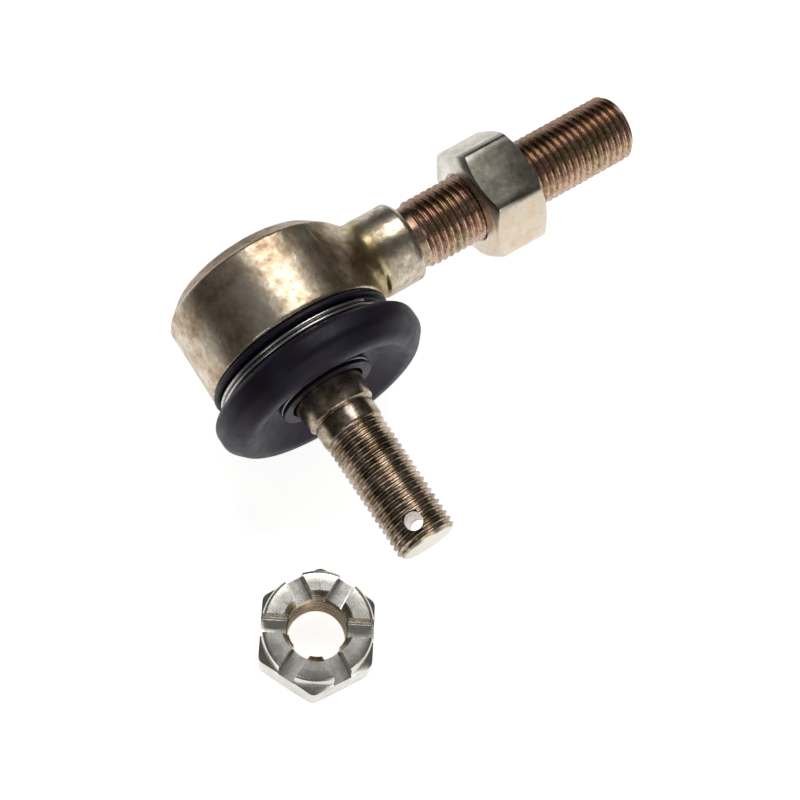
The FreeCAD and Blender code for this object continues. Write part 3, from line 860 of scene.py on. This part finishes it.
def nut_zinc():
    """Satin zinc, peach on the side of the stud, with a painted dark reflection on the uppermost flat."""
    s = Shader("jam_nut_zinc", Metallic=1.0)
    cloud = s.noise(5.0, 5.0, 0.6)
    olive, grey, silver = (0.50, 0.47, 0.38), (0.72, 0.69, 0.62), (0.84, 0.82, 0.77)
    colour = s.ramp(cloud, [(0.34, olive), (0.52, grey), (0.66, silver)])
    peach = [(0.35, (0.84, 0.66, 0.52)), (0.5, (0.84, 0.70, 0.50)), (0.62, (0.84, 0.74, 0.64))]
    blush = s.ramp(s.noise(3.2, 3.0), peach)
    lower = s.maths("SUBTRACT", 1.0, s.band(1, -9.0, -3.5))
    colour = s.mix(s.maths("MULTIPLY", lower, 0.85), colour, blush)
    # painted dark reflection: a dark olive grey on the flat that lies uppermost
    flat_painted_reflection = s.ramp(s.noise(2.4, 5.0, 0.6), [(0.36, (0.07, 0.065, 0.052)), (0.64, (0.17, 0.158, 0.13))])
    colour = s.mix(s.maths("MULTIPLY", s.band(2, 9.2, 10.2), 0.92), colour, flat_painted_reflection)
    spots = s.ramp(s.noise(1.1, 5.0, 0.65), [(0.30, (0.50, 0.46, 0.38)), (0.46, (1.0, 1.0, 1.0))])
    colour = s.mix(0.35, colour, spots, "MULTIPLY")
    colour = worn_and_highlit_edges(s, colour, (0.90, 0.88, 0.84))
    rough = s.ramp(s.noise(0.9, 4.0), [(0.3, 0.40), (0.7, 0.26)])
    normal = s.bump(s.noise(0.3, 4.0, 0.6), 0.004, s.bump(cloud, 0.05))
    return s.finish(colour, rough, normal)


def castle_zinc(name, tint, shade):
    """Silver zinc with fine scratches; tint and shade are its light and dark."""
    s = Shader(name, Metallic=1.0)
    cloud = s.noise(5.0, 3.0, 0.5)
    colour = s.ramp(cloud, [(0.34, shade), (0.58, tint)])
    scratch = s.noise(0.35, 2.0, 0.5, stretch=(1.0, 7.0, 2.0))
    lines = s.ramp(scratch, [(0.30, (0.60, 0.57, 0.52)), (0.44, (1.0, 1.0, 1.0))])
    colour = s.mix(0.15, colour, lines, "MULTIPLY")
    colour = worn_and_highlit_edges(s, colour, (0.92, 0.91, 0.88))
    rough = s.ramp(s.noise(1.5, 3.0), [(0.3, 0.30), (0.7, 0.22)])
    normal = s.bump(scratch, 0.0012, s.bump(cloud, 0.03))
    return s.finish(colour, rough, normal)


def boot_rubber():
    """Black moulded rubber, faintly violet, with a satin skin and a little dust."""
    s = Shader("boot_rubber_skin", Specular_IOR_Level=0.38, Specular_Tint=(0.86, 0.82, 1.0, 1.0))
    cloud = s.noise(7.0, 4.0, 0.6)
    colour = s.ramp(cloud, [(0.35, (0.007, 0.005, 0.011)), (0.65, (0.016, 0.012, 0.027))])
    dust = s.ramp(s.noise(0.9, 5.0, 0.7), [(0.60, 0.0), (0.74, 0.30)])
    colour = s.mix(dust, colour, (0.060, 0.055, 0.068))
    rough = s.ramp(s.noise(2.2, 4.0), [(0.3, 0.52), (0.7, 0.38)])
    normal = s.bump(s.noise(0.22, 3.0, 0.6), 0.012, s.bump(cloud, 0.10))
    return s.finish(colour, rough, normal)


def wire_steel(name, shade):
    """Drawn wire; shade is how light it is."""
    s = Shader(name, Metallic=1.0)
    streak = s.noise(0.5, 3.0, 0.6, stretch=(1.0, 6.0, 1.0))
    tint = (shade, shade * 0.98, shade * 0.94)
    colour = s.ramp(streak, [(0.35, tuple(0.55 * part for part in tint)), (0.6, tint)])
    rough = s.ramp(streak, [(0.3, 0.30), (0.7, 0.16)])
    return s.finish(colour, rough, s.bump(streak, 0.006))


def seat_plastic():
    """Off-white acetal with faint flow marks."""
    s = Shader("seat_acetal", Subsurface_Weight=0.08)
    flow = s.noise(6.0, 3.0, 0.5, stretch=(1.0, 3.0, 1.0))
    colour = s.ramp(flow, [(0.35, (0.66, 0.62, 0.54)), (0.65, (0.80, 0.77, 0.70))])
    rough = s.ramp(s.noise(1.5), [(0.3, 0.42), (0.7, 0.30)])
    return s.finish(colour, rough, s.bump(s.noise(0.4), 0.008))


def spring_steel():
    """Blued spring strip."""
    s = Shader("spring_blued", Metallic=1.0)
    cloud = s.noise(2.5, 4.0, 0.6)
    colour = s.ramp(cloud, [(0.35, (0.16, 0.17, 0.21)), (0.65, (0.34, 0.35, 0.40))])
    rough = s.ramp(s.noise(0.8), [(0.3, 0.40), (0.7, 0.26)])
    return s.finish(colour, rough, s.bump(s.noise(0.3), 0.008))


def floor_card():
    """Plain white card. It lights the object most from close by, and looks evenly bright to the camera."""
    s = Shader("floor_card")
    fibre = s.noise(3.0, 4.0)
    colour = s.ramp(fibre, [(0.3, (0.86, 0.86, 0.86)), (0.7, (0.90, 0.90, 0.90))])
    measure = s.add("ShaderNodeVectorMath", {0: s.place, 1: FLOOR_MIDDLE}, operation="DISTANCE")
    from_middle = measure.outputs["Value"]
    spread = s.add("ShaderNodeMapRange", {"Value": from_middle, "From Min": 0.085, "From Max": 0.19})
    spread.interpolation_type = "SMOOTHSTEP"
    near_glow, far_glow, seen_glow = 0.66, 0.10, 0.84
    s.give(spread.inputs["To Min"], near_glow)
    s.give(spread.inputs["To Max"], far_glow)
    seen = s.add("ShaderNodeLightPath").outputs["Is Camera Ray"]
    share = {"Factor": seen, "A": spread.outputs["Result"], "B": seen_glow}
    glow = s.add("ShaderNodeMix", share).outputs["Result"]
    s.give(s.surface.inputs["Emission Color"], (1.0, 1.0, 1.0, 1.0))
    s.give(s.surface.inputs["Emission Strength"], glow)
    rough = s.ramp(fibre, [(0.3, 0.95), (0.7, 0.85)])
    return s.finish(colour, rough, s.bump(s.noise(0.4), 0.01))


def dress(piece, *materials):
    piece.data.materials.clear()
    for material in materials:
        piece.data.materials.append(material)


# ---------------------------------------------------------------- assembly

forging_metal = forged_steel()

for piece, node, body, slot, material in (
    (forging(), "housing", "housing_group", "forged_steel", forging_metal),
    (shank(), "housing", "housing_group", "forged_steel", thread_steel()),
    (cover(), "end_cap", "housing_group", "forged_steel", forging_metal),
    (stud(), "ball_stud", "stud_group", "stud_steel", stud_steel()),
    (jam_nut(), "jam_nut", "jam_nut_group", "nut_zinc", nut_zinc()),
    (big_wire(), "boot_wire_large", "boot_group", "spring_steel", wire_steel("wire_bright", 0.72)),
    # the lip wire gets a dark copy of the wire: painted shade for the shadowed dish it sits in
    (small_wire(), "boot_wire_small", "boot_lip_group", "spring_steel", wire_steel("wire_painted_shade", 0.30)),
):
    dress(piece, material)
    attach(piece, body)
    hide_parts(node)

rubber = boot()
dress(rubber, boot_rubber())
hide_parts("dust_boot")

castle = castle_nut()
dress(
    castle,
    castle_zinc("castle_nut_zinc", (0.84, 0.82, 0.77), (0.68, 0.66, 0.59)),
    castle_zinc("castle_nut_painted_shade", (0.62, 0.50, 0.34), (0.36, 0.27, 0.18)),
)
# painted shade: brown in the bore and on the sides of the slots, the nut's recesses
for face in castle.data.polygons:
    spot = np.array(face.center) / MM - CASTLE_CENTRE
    in_bore = math.hypot(spot[0], spot[1]) < STUD_CREST + 0.4
    in_slot = spot[2] > (castle_high[2] - castle_low[2]) / 2 - CASTLE_SLOT_DEEP - 0.4
    on_top = face.normal.z > 0.5
    beside = any(
        abs(-math.sin(a) * spot[0] + math.cos(a) * spot[1]) < CASTLE_SLOT_WIDE / 2 + 0.05
        for a in SLOT_ANGLES
    )
    face.material_index = 1 if in_bore or (in_slot and beside and not on_top) else 0
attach(castle, "castle_nut_group")
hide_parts("castle_nut")

seat_material = seat_plastic()
for node, material in (
    ("preload_spring", spring_steel()),
    ("upper_ball_seat", seat_material),
    ("lower_ball_seat", seat_material),
):
    dress(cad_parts[node], material)

# ---------------------------------------------------------------- floor, light and camera

FLOOR_HALF = 1500.0
floor = mesh_object(
    "floor",
    [(x * FLOOR_HALF, y * FLOOR_HALF, FLOOR_Z - 0.02) for x, y in ((-1, -1), (1, -1), (1, 1), (-1, 1))],
    [(0, 1, 2, 3)],
)
dress(floor, floor_card())


def soft_light(name, direction, far, size, watts, colour):
    """A square soft light that far from the ball, turned to face it."""
    data = bpy.data.lights.new(name, "AREA")
    data.shape, data.size, data.energy, data.color = "SQUARE", size * MM, watts, colour
    light = bpy.data.objects.new(name, data)
    bpy.context.scene.collection.objects.link(light)
    way = Vector(direction).normalized()
    light.location = way * far * MM
    light.rotation_mode = "QUATERNION"
    light.rotation_quaternion = (-way).to_track_quat("-Z", "Y")


soft_light("key_light", (0.28, 0.43, 0.86), 700, 380, 1.45, (1.0, 0.985, 0.96))
soft_light("fill_light", (-0.62, -0.30, 0.72), 700, 180, 0.18, (1.0, 1.0, 1.0))
soft_light("low_light", (0.05, -0.97, 0.30), 700, 420, 0.8, (1.0, 0.98, 0.95))

# the object is lit by a dim sky, lighter overhead; the camera sees an even pale grey
world = bpy.data.worlds.new("studio")
bpy.context.scene.world = world
world.use_nodes = True
tree = world.node_tree
background = tree.nodes["Background"]
coordinates = tree.nodes.new("ShaderNodeTexCoord")
split = tree.nodes.new("ShaderNodeSeparateXYZ")
tree.links.new(coordinates.outputs["Generated"], split.inputs[0])
sky = tree.nodes.new("ShaderNodeValToRGB")
tree.links.new(split.outputs["Z"], sky.inputs[0])
for element, (where, grey) in zip(sky.color_ramp.elements, ((0.15, 0.05), (1.0, 0.15))):
    element.position = where
    element.color = (grey, grey, grey * 0.98, 1)
ray = tree.nodes.new("ShaderNodeLightPath")
seen = tree.nodes.new("ShaderNodeMix")
seen.data_type = "RGBA"
tree.links.new(ray.outputs["Is Camera Ray"], seen.inputs["Factor"])
tree.links.new(sky.outputs["Color"], seen.inputs["A"])
seen.inputs["B"].default_value = (0.93, 0.93, 0.93, 1)
tree.links.new(seen.outputs["Result"], background.inputs["Color"])
bpy.context.scene.view_settings.view_transform = "Standard"

# the photograph's viewing angle, from a camera fitted to the part's outline; the place is in mm
CAMERA_PLACE = (-61.73, -97.94, 263.07)
CAMERA_RIGHT = (0.834, -0.546, 0.082)
CAMERA_BACK = (-0.257, -0.251, 0.933)
camera_data = bpy.data.cameras.new("camera")
camera_data.lens, camera_data.sensor_width = 67.5, 36.0
camera_data.clip_start, camera_data.clip_end = 0.01, 10.0
camera = bpy.data.objects.new("camera", camera_data)
bpy.context.scene.collection.objects.link(camera)
back = Vector(CAMERA_BACK).normalized()
right = (Vector(CAMERA_RIGHT) - back * back.dot(Vector(CAMERA_RIGHT))).normalized()
up = back.cross(right)
turn = Matrix((right, up, back)).transposed().to_4x4()
camera.matrix_world = Matrix.Translation(Vector(CAMERA_PLACE) * MM) @ turn
bpy.context.scene.camera = camera
